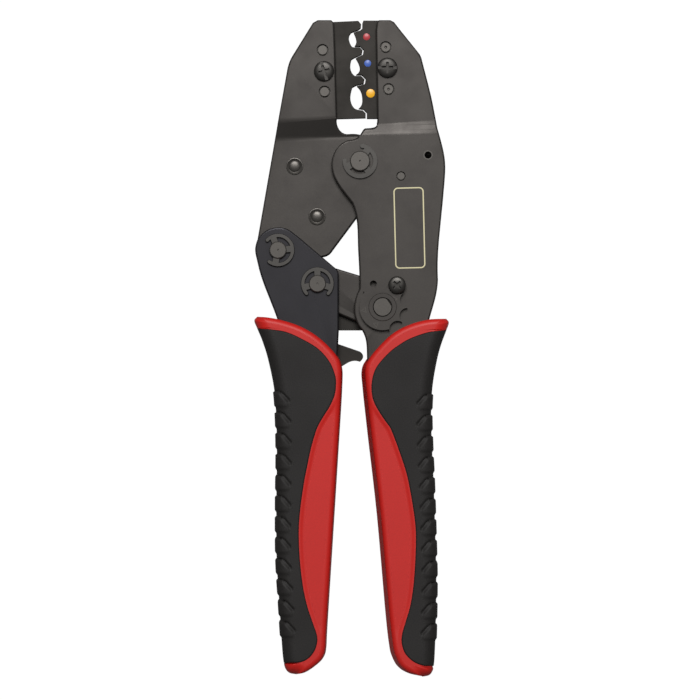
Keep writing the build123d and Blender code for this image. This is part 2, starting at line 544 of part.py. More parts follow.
# ---------------------------------------------------------------- grips
def grip(face, cover_face, core_edge, plate_face, rib_edge, side, notch=None):
    """Hard core and soft cover of one grip, with a pocket for its plates."""
    with BuildPart() as body:
        add(prism(face, -GRIP_Z, GRIP_Z))
        fillet(body.faces().filter_by(Axis.Z).edges(), 1.0)
    full = body.part
    cover = (full & prism(cover_face, -20, 20)) - prism(core_edge, -SKIN_Z, SKIN_Z)
    core = full - cover - prism(plate_face, -CAVITY_Z, CAVITY_Z)
    for rib in range(RIB_COUNT):
        at = (rib_edge[0] + (rib_edge[1] - rib_edge[0]) * (rib / RIB_COUNT) ** 3 + side * 0.7,
              -80.0 - RIB_PITCH * rib)
        cover = cover - rod(at, 1.2, -15, 15)
    if notch:
        core = core - prism(notch, -2.8, 2.8)
        cover = cover - prism(notch, -2.8, 2.8)
    return core, cover


lever_notch = outline(("line", [(-14.0, -56.0), (2.0, -56.0), (2.0, -73.5), (-8.5, -75.5),
                                (-14.0, -75.5)]))
left_core, left_cover = grip(LEFT_GRIP_FACE, LEFT_COVER_FACE, LEFT_CORE_EDGE, HANDLE_FACE,
                             (-29.6, -27.9), -1, lever_notch)
save(left_core, "left_grip_core")
save(left_cover, "left_grip_cover")
right_core, right_cover = grip(RIGHT_GRIP_FACE, RIGHT_COVER_FACE, RIGHT_CORE_EDGE, FRAME_FACE,
                               (25.2, 26.6), 1)
save(right_core, "right_grip_core")
save(right_cover, "right_grip_cover")
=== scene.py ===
"""Looks of the ratchet crimping tool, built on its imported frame.

The steel pieces keep the shapes of the frame with their edges eased. The two grips are moulded
afresh: a hard red core with a soft black cover, ribbed on its outer side.
"""
from __future__ import annotations

import json
import logging
import math
from dataclasses import dataclass, field
from enum import Enum
from typing import Iterable

import bmesh
import bpy
import numpy as np
from mathutils import Matrix, Vector

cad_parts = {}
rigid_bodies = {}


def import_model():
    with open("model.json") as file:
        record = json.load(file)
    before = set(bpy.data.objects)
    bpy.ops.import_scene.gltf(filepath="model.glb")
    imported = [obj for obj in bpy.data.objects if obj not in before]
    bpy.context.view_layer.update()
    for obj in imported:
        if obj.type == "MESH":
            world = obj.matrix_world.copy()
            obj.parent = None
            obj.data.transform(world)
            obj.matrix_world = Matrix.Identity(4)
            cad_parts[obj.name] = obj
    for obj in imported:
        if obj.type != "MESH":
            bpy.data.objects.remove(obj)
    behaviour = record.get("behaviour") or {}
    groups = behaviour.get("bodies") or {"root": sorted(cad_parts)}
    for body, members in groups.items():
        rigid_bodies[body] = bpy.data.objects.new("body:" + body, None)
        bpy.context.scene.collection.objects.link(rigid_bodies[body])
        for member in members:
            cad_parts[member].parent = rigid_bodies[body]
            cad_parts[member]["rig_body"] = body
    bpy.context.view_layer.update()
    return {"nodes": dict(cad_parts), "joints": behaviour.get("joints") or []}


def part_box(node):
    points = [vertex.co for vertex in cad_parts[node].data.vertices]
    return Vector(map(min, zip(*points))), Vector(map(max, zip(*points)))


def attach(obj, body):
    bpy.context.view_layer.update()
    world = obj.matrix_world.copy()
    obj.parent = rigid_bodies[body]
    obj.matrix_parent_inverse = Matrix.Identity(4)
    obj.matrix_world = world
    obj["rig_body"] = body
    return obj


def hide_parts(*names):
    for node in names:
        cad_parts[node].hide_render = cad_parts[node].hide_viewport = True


LOG = logging.getLogger("crimping_tool")
MM = 0.001
MERGE_MM = 0.002          # vertices closer than this are one
BEND_MM = 1.0             # rounding of a plate's folds
LARGEST_HOLE_MM = 9.0     # outlines smaller than this are holes
BROAD_FACE_MM2 = 15.0     # faces larger than this are kept flat
CREASE_DEG = 40           # edges sharper than this are eased
WHEEL_EASE_MM = 0.16

Points = list[tuple[float, float]]


# ------------------------------------------------------------------------------ shading tools
def linear(hex_code: str) -> tuple[float, float, float, float]:
    """Turn an sRGB hex colour into linear RGBA.

    Args:
        hex_code: six hex digits.

    Returns:
        Linear red, green, blue and an alpha of one.
    """
    channels = [int(hex_code[i:i + 2], 16) / 255 for i in (0, 2, 4)]
    return tuple(c / 12.92 if c <= 0.04045 else ((c + 0.055) / 1.055) ** 2.4 for c in channels) + (1.0,)


def add_node(tree: bpy.types.NodeTree, kind: str, inputs: dict | None = None, **settings) -> bpy.types.Node:
    """Add one node with its settings and its values or links.

    Args:
        tree: the node tree it joins.
        kind: Blender's name of the node type.
        inputs: socket name or number to a value, or to an output socket to link from.
        settings: attributes of the node.

    Returns:
        The new node.
    """
    node = tree.nodes.new(kind)
    for name, value in settings.items():
        setattr(node, name, value)
    for key, value in (inputs or {}).items():
        if isinstance(value, bpy.types.NodeSocket):
            tree.links.new(value, node.inputs[key])
        else:
            node.inputs[key].default_value = value
    return node


def paint(obj: bpy.types.Object, *materials: bpy.types.Material) -> None:
    """Give a piece its materials: the first all over, the second on the faces marked for it."""
    obj.data.materials.clear()
    for material in materials:
        obj.data.materials.append(material)


# ------------------------------------------------------------------------------ finishes
@dataclass(frozen=True)
class SteelFinish:
    """Hardened carbon steel, blackened in a hot oxide bath over a blasted or ground surface.

    The oxide is thin, so it still reflects like metal but darkly, with a faint cloudiness and fine
    grit. Handling burnishes it a little, which shows as patches of lower roughness.
    """

    name: str
    colour: str
    shade: str
    roughness: float
    spread: float = 0.10
    grit_mm: float = 0.25
    relief: float = 0.10
    metallic: float = 0.75

    def make(self) -> bpy.types.Material:
        """Build the material."""
        material = bpy.data.materials.new(self.name)
        material.use_nodes = True
        tree = material.node_tree
        tree.nodes.clear()
        place = add_node(tree, "ShaderNodeTexCoord").outputs["Object"]
        cloud = add_node(tree, "ShaderNodeTexNoise", {"Vector": place, "Scale": 1 / (14 * MM),
                         "Detail": 5.0, "Roughness": 0.6})
        # grit of the blasted surface, about a quarter of a millimetre so that it shows
        grit = add_node(tree, "ShaderNodeTexNoise", {"Vector": place, "Scale": 1 / (self.grit_mm * MM),
                        "Detail": 3.0, "Roughness": 0.7})
        tint = add_node(tree, "ShaderNodeMix", {"Factor": cloud.outputs["Fac"], 6: linear(self.colour),
                        7: linear(self.shade)}, data_type="RGBA")
        speck = add_node(tree, "ShaderNodeMapRange", {"Value": grit.outputs["Fac"], "From Min": 0.3,
                         "From Max": 0.7, "To Min": 0.86, "To Max": 1.14})
        colour = add_node(tree, "ShaderNodeMix", {"Factor": 1.0, 6: tint.outputs[2],
                          7: speck.outputs["Result"]}, data_type="RGBA", blend_type="MULTIPLY")
        rough = add_node(tree, "ShaderNodeMapRange", {"Value": cloud.outputs["Fac"], "From Min": 0.35,
                         "From Max": 0.65, "To Min": self.roughness - self.spread / 2,
                         "To Max": self.roughness + self.spread / 2})
        relief = add_node(tree, "ShaderNodeBump", {"Strength": self.relief, "Distance": 0.03 * MM,
                          "Height": grit.outputs["Fac"]})
        shader = add_node(tree, "ShaderNodeBsdfPrincipled", {"Base Color": colour.outputs[2],
                          "Metallic": self.metallic, "Roughness": rough.outputs["Result"],
                          "Normal": relief.outputs["Normal"]})
        add_node(tree, "ShaderNodeOutputMaterial", {"Surface": shader.outputs["BSDF"]})
        return material


@dataclass(frozen=True)
class MouldedPlastic:
    """Injection moulded polypropylene, opaque and satin from a lightly textured mould."""

    name: str
    colour: str
    shade: str
    roughness: float
    grain_mm: float
    relief: float
    ior: float = 1.49
    gloss: float = 0.5
    speckle: float = 0.06

    def make(self) -> bpy.types.Material:
        """Build the material."""
        material = bpy.data.materials.new(self.name)
        material.use_nodes = True
        tree = material.node_tree
        tree.nodes.clear()
        place = add_node(tree, "ShaderNodeTexCoord").outputs["Object"]
        flow = add_node(tree, "ShaderNodeTexNoise", {"Vector": place, "Scale": 1 / (22 * MM), "Detail": 4.0})
        grain = add_node(tree, "ShaderNodeTexNoise", {"Vector": place, "Scale": 1 / (self.grain_mm * MM),
                         "Detail": 2.0, "Roughness": 0.6})
        tint = add_node(tree, "ShaderNodeMix", {"Factor": flow.outputs["Fac"], 6: linear(self.colour),
                        7: linear(self.shade)}, data_type="RGBA")
        speck = add_node(tree, "ShaderNodeMapRange", {"Value": grain.outputs["Fac"], "From Min": 0.3,
                         "From Max": 0.7, "To Min": 1 - self.speckle, "To Max": 1 + self.speckle})
        colour = add_node(tree, "ShaderNodeMix", {"Factor": 1.0, 6: tint.outputs[2],
                          7: speck.outputs["Result"]}, data_type="RGBA", blend_type="MULTIPLY")
        rough = add_node(tree, "ShaderNodeMapRange", {"Value": flow.outputs["Fac"], "From Min": 0.35,
                         "From Max": 0.65, "To Min": self.roughness - 0.03, "To Max": self.roughness + 0.03})
        relief = add_node(tree, "ShaderNodeBump", {"Strength": self.relief, "Distance": 0.05 * MM,
                          "Height": grain.outputs["Fac"]})
        shader = add_node(tree, "ShaderNodeBsdfPrincipled", {"Base Color": colour.outputs[2],
                          "Roughness": rough.outputs["Result"], "IOR": self.ior,
                          "Specular IOR Level": self.gloss, "Normal": relief.outputs["Normal"]})
        add_node(tree, "ShaderNodeOutputMaterial", {"Surface": shader.outputs["BSDF"]})
        return material


# Blackened plate: warm dark grey, satin
PLATE_OXIDE = SteelFinish("black_oxide_plate", "403d3a", "33302e", 0.47)
# The handle plates get a darker, bluer copy of the plate oxide: painted shade, for they lie furthest from
# the light
HANDLE_OXIDE_SHADED = SteelFinish("black_oxide_handle_plate_painted_shade", "2a292c", "222124", 0.48)
# Sintered dies are matt and brownish black
DIE_OXIDE = SteelFinish("black_oxide_sintered_die", "302d2a", "24221f", 0.6, grit_mm=0.35, relief=0.18)
# Turned pins: the oxide is rubbed thin, so they are greyer and smoother
PIN_OXIDE = SteelFinish("rubbed_oxide_pin", "55524e", "45423f", 0.38, grit_mm=0.3)
# Painted shade: a darker oxide for the eased edges and sloped rims of the steel pieces, standing in for the
# dark outlines that shade draws round them
EDGE_PAINTED_SHADE = SteelFinish("painted_shade_on_edges", "191817", "121110", 0.5)
# Spring steel clips and coils: dark grey phosphate
SPRING_STEEL = SteelFinish("phosphated_spring_steel", "474542", "3a3836", 0.46)
# Screws and nuts: blackened and oiled
SCREW_OXIDE = SteelFinish("oiled_black_screw", "3c3a37", "2f2d2b", 0.42)
# Hard polypropylene: saturated red, satin, a faint mould grain
RED_PLASTIC = MouldedPlastic("moulded_red_polypropylene", "bb1a13", "b11711", 0.5, 0.5, 0.05, gloss=0.34)
# Soft thermoplastic rubber: neutral black, matt, a fine spark-eroded grain
BLACK_RUBBER = MouldedPlastic("moulded_black_elastomer", "211f1e", "1b1918", 0.66, 0.4, 0.6, gloss=0.26,
                              speckle=0.3)
# Baked enamel in the punched size marks: even, slightly glossy
RED_ENAMEL = MouldedPlastic("red_enamel", "a8343a", "a03036", 0.35, 0.6, 0.03, ior=1.5)
BLUE_ENAMEL = MouldedPlastic("blue_enamel", "3f5fae", "3a58a4", 0.35, 0.6, 0.03, ior=1.5)
YELLOW_ENAMEL = MouldedPlastic("yellow_enamel", "e5a81a", "dba016", 0.35, 0.6, 0.03, ior=1.5)
# Pad-printed ink on the plate: flat, dry, cream
CREAM_INK = MouldedPlastic("cream_printing_ink", "cfc7a0", "c2ba94", 0.6, 0.3, 0.03)


class Finish(Enum):
    """The finishes by the part of the tool that wears them."""

    PLATE = PLATE_OXIDE
    HANDLE = HANDLE_OXIDE_SHADED
    DIE = DIE_OXIDE
    PIN = PIN_OXIDE
    SPRING = SPRING_STEEL
    EDGE = EDGE_PAINTED_SHADE
    SCREW = SCREW_OXIDE
    RED = RED_PLASTIC
    BLACK = BLACK_RUBBER
    MARK_RED = RED_ENAMEL
    MARK_BLUE = BLUE_ENAMEL
    MARK_YELLOW = YELLOW_ENAMEL
    INK = CREAM_INK


class Paints:
    """Makes each finish once and hands it out."""

    def __init__(self) -> None:
        """Start with nothing mixed."""
        self.mixed: dict[Finish, bpy.types.Material] = {}

    def get(self, finish: Finish) -> bpy.types.Material:
        """The material of one finish."""
        if finish not in self.mixed:
            self.mixed[finish] = finish.value.make()
        return self.mixed[finish]


# ------------------------------------------------------------------------------ geometry tools
@dataclass
class Datum:
    """The main pivot in the shared frame, from which the tool's own sizes are measured."""

    origin: Vector

    def at(self, x: float, y: float, z: float) -> Vector:
        """A point given in millimetres from the main pivot, in metres in the shared frame."""
        return self.origin + Vector((x, y, z)) * MM


def finish_mesh(bm: bmesh.types.BMesh, name: str, crease_deg: float = 32.0,
                flat: bool = False) -> bpy.types.Object:
    """Turn a bmesh into a piece with smooth shading and sharp creases.

    Args:
        bm: the finished shape, in metres. It is freed.
        name: the piece's name.
        crease_deg: edges that turn more than this stay sharp.
        flat: keep broad faces perfectly flat up to their rims.

    Returns:
        The new object, linked to the scene.
    """
    crease = math.radians(crease_deg)
    for face in bm.faces:
        face.smooth = True
    for edge in bm.edges:
        turn = edge.calc_face_angle(0.0)
        broad = flat and any(face.calc_area() > BROAD_FACE_MM2 * MM * MM for face in edge.link_faces)
        edge.smooth = turn < (0.03 if broad else crease)
    mesh = bpy.data.meshes.new(name)
    bm.to_mesh(mesh)
    bm.free()
    obj = bpy.data.objects.new(name, mesh)
    bpy.context.scene.collection.objects.link(obj)
    return obj


def outline_edges(bm: bmesh.types.BMesh, least_mm: float) -> list[bmesh.types.BMEdge]:
    """The edges where a plate's flat faces meet its side, leaving out the holes.

    Args:
        bm: the plate.
        least_mm: a loop smaller than this is taken for a hole.

    Returns:
        The edges.
    """
    def is_rim(edge: bmesh.types.BMEdge) -> bool:
        """Whether an edge joins a flat face to an upright one."""
        tilt = sorted(abs(face.normal.z) for face in edge.link_faces)
        return len(tilt) == 2 and tilt[0] < 0.35 and tilt[1] > 0.5

    waiting, found = {edge for edge in bm.edges if is_rim(edge)}, []
    while waiting:
        loop, reach = [], [waiting.pop()]
        while reach:
            edge = reach.pop()
            loop.append(edge)
            for vert in edge.verts:
                near = [other for other in vert.link_edges if other in waiting]
                waiting.difference_update(near)
                reach.extend(near)
        xs = [vert.co.x for edge in loop for vert in edge.verts]
        if max(xs) - min(xs) > least_mm * MM:
            found.extend(loop)
    return found


def bend_edges(bm: bmesh.types.BMesh) -> list[bmesh.types.BMEdge]:
    """The edges where a plate's face is folded, away from its side."""
    return [edge for edge in bm.edges if len(edge.link_faces) == 2 and edge.calc_face_angle(0.0) > 0.2
            and min(abs(face.normal.z) for face in edge.link_faces) > 0.35]


def eased_copy(source: bpy.types.Object, name: str, ease_mm: float,
               rim_mm: float = 0.0) -> bpy.types.Object:
    """Copy a frame node, merge it into clean faces and ease its edges.

    Args:
        source: the frame node.
        name: the new piece's name.
        ease_mm: width of the eased edge.
        rim_mm: width of the rolled edge round a stamped plate's outline.

    Returns:
        The new object with a live bevel.
    """
    bm = bmesh.new()
    bm.from_mesh(source.data)
    bmesh.ops.remove_doubles(bm, verts=bm.verts, dist=MERGE_MM * MM)
    bmesh.ops.dissolve_limit(bm, angle_limit=math.radians(0.6), verts=bm.verts, edges=bm.edges)
    if rim_mm:
        bmesh.ops.bevel(bm, geom=bend_edges(bm), offset=BEND_MM * MM, segments=4, profile=0.5,
                        affect="EDGES", clamp_overlap=False, material=-1)
        # The rolled rim takes the second material, the painted edge shade
        bmesh.ops.bevel(bm, geom=outline_edges(bm, LARGEST_HOLE_MM), offset=rim_mm * MM, segments=3,
                        profile=0.5, affect="EDGES", clamp_overlap=False, material=1)
    obj = finish_mesh(bm, name, 30.0, flat=bool(rim_mm))
    bevel = obj.modifiers.new("eased_edges", "BEVEL")
    bevel.width = ease_mm * MM
    bevel.segments = 2
    bevel.limit_method = "ANGLE"
    bevel.angle_limit = math.radians(CREASE_DEG)
    # Eased edges take the second material, the painted edge shade
    bevel.material = 1
    return obj


def turned(name: str, profile: Points, centre: Vector, steps: int = 72,
           rims: bool = True) -> bpy.types.Object:
    """Spin a profile about an upright axis into a closed piece.

    Args:
        name: the piece's name.
        profile: radius and height in millimetres, starting and ending on the axis.
        centre: foot of the axis, in metres.
        steps: facets round the axis.
        rims: paint the upward slopes with the second material, the painted edge shade.

    Returns:
        The new object.
    """
    bm = bmesh.new()
    chain = [bm.verts.new(centre + Vector((r, 0, z)) * MM) for r, z in profile]
    links = [bm.edges.new(pair) for pair in zip(chain, chain[1:])]
    bmesh.ops.spin(bm, geom=chain + links, cent=centre, axis=(0, 0, 1), angle=math.tau, steps=steps)
    bmesh.ops.remove_doubles(bm, verts=bm.verts, dist=0.002 * MM)
    bmesh.ops.recalc_face_normals(bm, faces=bm.faces)
    for face in bm.faces:
        # Upward slopes take the second material, the painted edge shade
        if rims and 0.2 < face.normal.z < 0.92:
            face.material_index = 1
    return finish_mesh(bm, name, 34.0)


def tube(bm: bmesh.types.BMesh, foot: Vector, radii: tuple[float, float],
         heights: tuple[float, float]) -> None:
    """Add an upright tube, sizes in millimetres above its foot."""
    corners_mm = [(radii[0], heights[0]), (radii[1], heights[0]),
                  (radii[1], heights[1]), (radii[0], heights[1])]
    loop = [bm.verts.new(foot + Vector((r, 0, z)) * MM) for r, z in corners_mm]
    links = [bm.edges.new(pair) for pair in zip(loop, loop[1:] + loop[:1])]
    bmesh.ops.spin(bm, geom=loop + links, cent=foot, axis=(0, 0, 1), angle=math.tau, steps=72)
    bmesh.ops.remove_doubles(bm, verts=bm.verts, dist=0.001 * MM)
    bmesh.ops.recalc_face_normals(bm, faces=bm.faces)


def block(bm: bmesh.types.BMesh, low: Vector, high: Vector, turn: float = 0.0,
          about: Vector | None = None) -> None:
    """Add a box between two corners, then turn it about an upright axis."""
    made = bmesh.ops.create_cube(bm, size=1.0)["verts"]
    bmesh.ops.scale(bm, verts=made, vec=high - low)
    bmesh.ops.translate(bm, verts=made, vec=(high + low) / 2)
    if turn:
        bmesh.ops.rotate(bm, verts=made, cent=about, matrix=Matrix.Rotation(turn, 3, "Z"))


def cut(piece: bpy.types.Object, cutter: bmesh.types.BMesh, name: str) -> None:
    """Cut the shapes of a bmesh out of a piece, and drop the cutter."""
    tool = finish_mesh(cutter, f"{name}_cutter")
    modifier = piece.modifiers.new(name, "BOOLEAN")
    modifier.operation = "DIFFERENCE"
    modifier.solver = "EXACT"
    modifier.use_self = True
    modifier.object = tool
    view = bpy.context.evaluated_depsgraph_get()
    mesh = bpy.data.meshes.new_from_object(piece.evaluated_get(view), depsgraph=view)
    piece.modifiers.clear()
    mesh.set_sharp_from_angle(angle=math.radians(34))
    piece.data = mesh
    bpy.data.objects.remove(tool)


def smooth_line(points: Points, per_span: int = 16) -> np.ndarray:
    """Smooth curve through points.

    Args:
        points: the points it passes through, in millimetres.
        per_span: samples between neighbouring points.

    Returns:
        The samples, one row each.
    """
    knots = np.array([points[0], *points, points[-1]], dtype=float)
    knots[0] = 2 * knots[1] - knots[2]
    knots[-1] = 2 * knots[-2] - knots[-3]
    t = np.linspace(0, 1, per_span, endpoint=False)[:, None]
    spans = []
    for a, b, c, d in zip(knots, knots[1:], knots[2:], knots[3:]):
        spans.append(0.5 * (2 * b + (c - a) * t + (2 * a - 5 * b + 4 * c - d) * t ** 2
                            + (3 * b - a - 3 * c + d) * t ** 3))
    return np.vstack([*spans, np.array(points[-1:], dtype=float)])


def even(line: np.ndarray, gap: float) -> np.ndarray:
    """The same line, sampled at even steps along its length."""
    run = np.concatenate([[0], np.cumsum(np.hypot(*np.diff(line, axis=0).T))])
    at = np.linspace(0, run[-1], max(2, int(run[-1] / gap)))
    return np.column_stack([np.interp(at, run, line[:, 0]), np.interp(at, run, line[:, 1])])


def distance_to(line: np.ndarray, x: np.ndarray, y: np.ndarray) -> np.ndarray:
    """Shortest distance from each point to a line of short spans."""
    best = np.full(x.shape, 1e9)
    for (ax, ay), (bx, by) in zip(line[:-1], line[1:]):
        dx, dy = bx - ax, by - ay
        t = np.clip(((x - ax) * dx + (y - ay) * dy) / (dx * dx + dy * dy + 1e-12), 0, 1)
        best = np.minimum(best, np.hypot(x - ax - t * dx, y - ay - t * dy))
    return best


def ease(value: np.ndarray, low: float, high: float) -> np.ndarray:
    """Smooth step from zero at low to one at high."""
    t = np.clip((value - low) / (high - low), 0, 1)
    return t * t * (3 - 2 * t)


def round_over(distance: np.ndarray, radius: float) -> np.ndarray:
    """How far a rounded edge falls below its flat at a distance in from the edge."""
    t = np.clip(1 - distance / radius, 0, 1)
    return radius * (1 - np.sqrt(np.clip(1 - t * t, 0, 1)))


# ------------------------------------------------------------------------------ grips
class Side(Enum):
    """Which grip, and which way its outer side faces."""

    LEFT = -1
    RIGHT = 1


@dataclass
class Grip:
    """One two-part grip. All lines are in millimetres from the main pivot, from the collar down."""

    side: Side
    body: str
    inner: Points
    outer: Points
    seam: Points
    panel: tuple[float, float]
    draft: float
    first_rib: float
    half: float = 11.0
    outer_round: float = 4.4
    inner_round: float = 1.9
    cover_wall: float = 1.1
    step: float = 1.4
    rib_pitch: float = 7.315
    rib_count: int = 12
    rib_rise: float = 0.55
    band: float = 1.7
    dish: float = 0.4
    pocket: list[tuple[float, float, float, float]] = field(default_factory=list)
    datum: Datum = field(default_factory=lambda: Datum(Vector()))

    def prepare(self) -> None:
        """Sample the inner, outer and seam lines."""
        self.inner_line = smooth_line(self.inner)
        self.outer_line = smooth_line(self.outer)
        self.seam_line = smooth_line(self.seam)

    def across(self, line: np.ndarray, y: np.ndarray) -> np.ndarray:
        """X of a line at given heights."""
        order = np.argsort(line[:, 1])
        return np.interp(y, line[order, 1], line[order, 0])

    def stations(self) -> np.ndarray:
        """Heights of the rows: every sample of the seam, and of the sides where they run flat."""
        flat = []
        for line in (self.inner_line, self.outer_line):
            walk = even(line, 0.45)
            steep = np.abs(np.gradient(walk[:, 1])) < 0.3
            flat.append(walk[steep, 1])
        heights = np.concatenate([even(self.seam_line, 0.45)[:, 1], *flat, self.inner_line[[0, -1], 1]])
        heights = np.unique(heights)[::-1]
        keep = [heights[0]]
        for height in heights[1:]:
            if keep[-1] - height > 0.03:
                keep.append(height)
        return np.array(keep)

    def front(self, x: np.ndarray, y: np.ndarray) -> np.ndarray:
        """Height of the grip's outer surface over a point."""
        fall = np.maximum(round_over(distance_to(self.outer_line, x, y), self.outer_round),
                          round_over(distance_to(self.inner_face_line, x, y), self.inner_round))
        return self.half - fall

    @property
    def inner_face_line(self) -> np.ndarray:
        """The inner edge of the front face, set in by the draft below the shoulder."""
        line = self.inner_line.copy()
        down = ease(-line[:, 1], 60.0, 76.0)
        line[:, 0] += self.side.value * self.draft * down
        return line

    def grid(self, across: int, rows: np.ndarray) -> tuple[bmesh.types.BMesh, np.ndarray, np.ndarray]:
        """A flat grid whose vertices are then placed, with each one's column and row."""
        bm = bmesh.new()
        bmesh.ops.create_grid(bm, x_segments=across - 1, y_segments=len(rows) - 1, size=0.5)
        bm.verts.ensure_lookup_table()
        flat = np.array([v.co[:2] for v in bm.verts])
        column = np.rint((flat[:, 0] + 0.5) * (across - 1)).astype(int)
        row = np.rint((flat[:, 1] + 0.5) * (len(rows) - 1)).astype(int)
        return bm, column, row

    def settle(self, bm: bmesh.types.BMesh, x: np.ndarray, y: np.ndarray, z: np.ndarray) -> None:
        """Move the vertices to their places, in metres."""
        o = self.datum.origin
        for vert, px, py, pz in zip(bm.verts, x, y, z):
            vert.co = (o.x + px * MM, o.y + py * MM, o.z + pz * MM)

    def close(self, bm: bmesh.types.BMesh) -> None:
        """Mirror the front half to the back, join the halves and face everything outwards."""
        geometry = bm.verts[:] + bm.edges[:] + bm.faces[:]
        bmesh.ops.mirror(bm, geom=geometry, matrix=Matrix.Translation(-self.datum.origin),
                         merge_dist=0.004 * MM, axis="Z")
        bmesh.ops.remove_doubles(bm, verts=bm.verts, dist=0.004 * MM)
        bmesh.ops.dissolve_degenerate(bm, edges=bm.edges, dist=0.002 * MM)
        bmesh.ops.recalc_face_normals(bm, faces=bm.faces)

    def ribs(self, inset: np.ndarray, y: np.ndarray) -> np.ndarray:
        """How far the cover stands proud or sinks at the ribs.

        Args:
            inset: distance in from the outer side, seen from the front.
            y: height.

        Returns:
            Rise along the surface's normal.
        """
        rise = np.zeros_like(y)
        comma = smooth_line([(-0.5, 0.0), (1.2, 0.05), (2.4, 0.5), (3.7, 1.9), (4.7, 3.0)], 6)
        tail = smooth_line([(2.6, 0.9), (3.7, 2.1), (4.5, 2.9)], 6)
        for rib in range(self.rib_count):
            down = self.first_rib - self.rib_pitch * rib - y
            body = ease(down, -0.15, 0.15) * (1 - ease(down, 4.6, 5.7))
            limit = np.interp(down, comma[:, 1], comma[:, 0], left=0.2, right=4.7)
            inside = 1 - ease(inset, limit * 0.85, limit + 0.15)
            fade = 1 - 0.75 * ease(inset, 0.5, 5.0)
            rise += self.rib_rise * body * inside * fade
            near = (down > -1.5) & (down < 4.5) & (inset < 6.5)
            if near.any():
                gap = distance_to(comma, inset[near], down[near])
                bulb = distance_to(tail, inset[near], down[near])
                groove = np.maximum(0.6 * np.exp(-(gap / 0.34) ** 2), 0.6 * np.exp(-(bulb / 0.62) ** 4))
                rise[near] -= groove * ease(inset[near], 0.2, 0.9)
        return rise

    def widened(self, line: np.ndarray, y: np.ndarray, width: float) -> np.ndarray:
        """A width measured square to a line, laid out across instead."""
        slope = (self.across(line, y - 0.2) - self.across(line, y + 0.2)) / 0.4
        return width * np.sqrt(1 + slope ** 2)

    def core(self) -> bpy.types.Object:
        """The hard red core, closed, with a step down where the cover lies."""
        rows = self.stations()
        wall, under, band, flat, edge = 5, 12, 6, 18, 12
        across = wall + under + 1 + band + flat + edge + wall
        bm, column, row = self.grid(across, rows)
        y, sign = rows[row], self.side.value
        x_in, x_face = self.across(self.inner_line, y), self.across(self.inner_face_line, y)
        sunk = self.covered(y)
        x_out = self.across(self.outer_line, y)
        x_seam = np.where(sunk > 0, self.across(self.seam_line, y), x_out)
        x_out = x_out - sign * np.minimum(self.step * sunk, np.abs(x_out - x_seam))
        x_face = np.where((x_face - x_out) * sign > 0, x_out, x_face)
        x_seam = np.where((x_face - x_seam) * sign > 0, x_face, x_seam)
        bare = np.abs(x_face - x_seam)
        ramp = np.minimum(self.widened(self.seam_line, y, self.band), 0.4 * bare)
        rim = np.minimum(self.widened(self.inner_face_line, y, self.inner_round), 0.5 * bare)
        stops = [0, wall, wall + under, wall + under + 1, wall + under + 1 + band,
                 across - 1 - wall - edge, across - 1 - wall]
        places = [x_out, x_out, x_seam, x_seam, x_seam - sign * ramp, x_face + sign * rim, x_face]
        x = np.select([column <= stop for stop in stops[1:]],
                      [start + (end - start) * np.clip((column - low) / (high - low), 0, 1)
                       for low, high, start, end in zip(stops, stops[1:], places, places[1:])], x_face)
        z = self.front(x, y)
        lowered = (column <= stops[2]) & (sunk > 0)
        seam_gap = distance_to(self.seam_line, x, y)
        on_panel = ease(-y, -self.panel[0] - 6.0, -self.panel[0] + 3.0) * (
            1 - ease(-y, -self.panel[1] - 3.0, -self.panel[1] + 6.0))
        dished = self.dish * ease(seam_gap, 0.1, self.band) * on_panel
        z = z - np.where(lowered, self.step * sunk, dished)
        x = np.where(column == stops[2], x + sign * 0.06 * sunk, x)
        z = np.where(column < wall, (self.front(x_out, y) - self.step * sunk) * column / wall, z)
        back = np.clip((across - 1 - column) / wall, 0, 1)
        z = np.where(column > stops[-1], (self.front(x_face, y) - self.dish * on_panel) * back, z)
        x = np.where(column > stops[-1], x_in + (x_face - x_in) * ease(back, 0.25, 1.0), x)
        self.settle(bm, x, y, np.maximum(z, 0))
        self.close(bm)
        return finish_mesh(bm, f"{self.side.name.lower()}_grip_core_moulding", 50.0)

    def covered(self, y: np.ndarray) -> np.ndarray:
        """One where the cover lies over the core, nought at the bare ends."""
        return ((y < self.seam[0][1]) & (y > self.seam[-1][1])).astype(float)

    def cover(self) -> bpy.types.Object:
        """The soft ribbed cover, a skin over the outer side of the core."""
        rows = self.stations()
        rows = rows[(rows <= self.seam[0][1]) & (rows >= self.seam[-1][1])]
        wall, corner, face = 5, 34, 20
        across = wall + corner + face
        bm, column, row = self.grid(across, rows)
        y, sign = rows[row], self.side.value
        x_out, x_seam = self.across(self.outer_line, y), self.across(self.seam_line, y)
        width = np.maximum((x_out - x_seam) * sign, 0.0)
        near = np.minimum(7.0, width * 0.6)
        a = np.clip((column - wall) / (corner - 1), 0, 1)
        b = np.clip((column - wall - corner + 1) / face, 0, 1)
        inset = np.where(column < wall + corner, near * (0.35 * a + 0.65 * a ** 1.8),
                         near + (width - near) * np.sin(b * math.pi / 2))
        inset = np.where(column < wall, 0.0, inset)
        x = x_out - sign * inset
        seam_gap = distance_to(self.seam_line, x, y)
        z = self.front(x, y) - 0.3 * (1 - ease(seam_gap, 0.0, 0.45))
        z = np.where(column < wall, self.front(x_out, y) * column / wall, z)
        lean = np.clip(1 - distance_to(self.outer_line, x, y) / self.outer_round, 0, 1)
        lean = np.where(column < wall, 1.0, lean)
        rise = self.ribs(inset, y) * ease(seam_gap, 0.0, 1.0)
        self.settle(bm, x + sign * rise * lean, y, z + rise * np.sqrt(np.clip(1 - lean * lean, 0, 1)))
        self.close(bm)
        return finish_mesh(bm, f"{self.side.name.lower()}_grip_cover_moulding", 50.0)

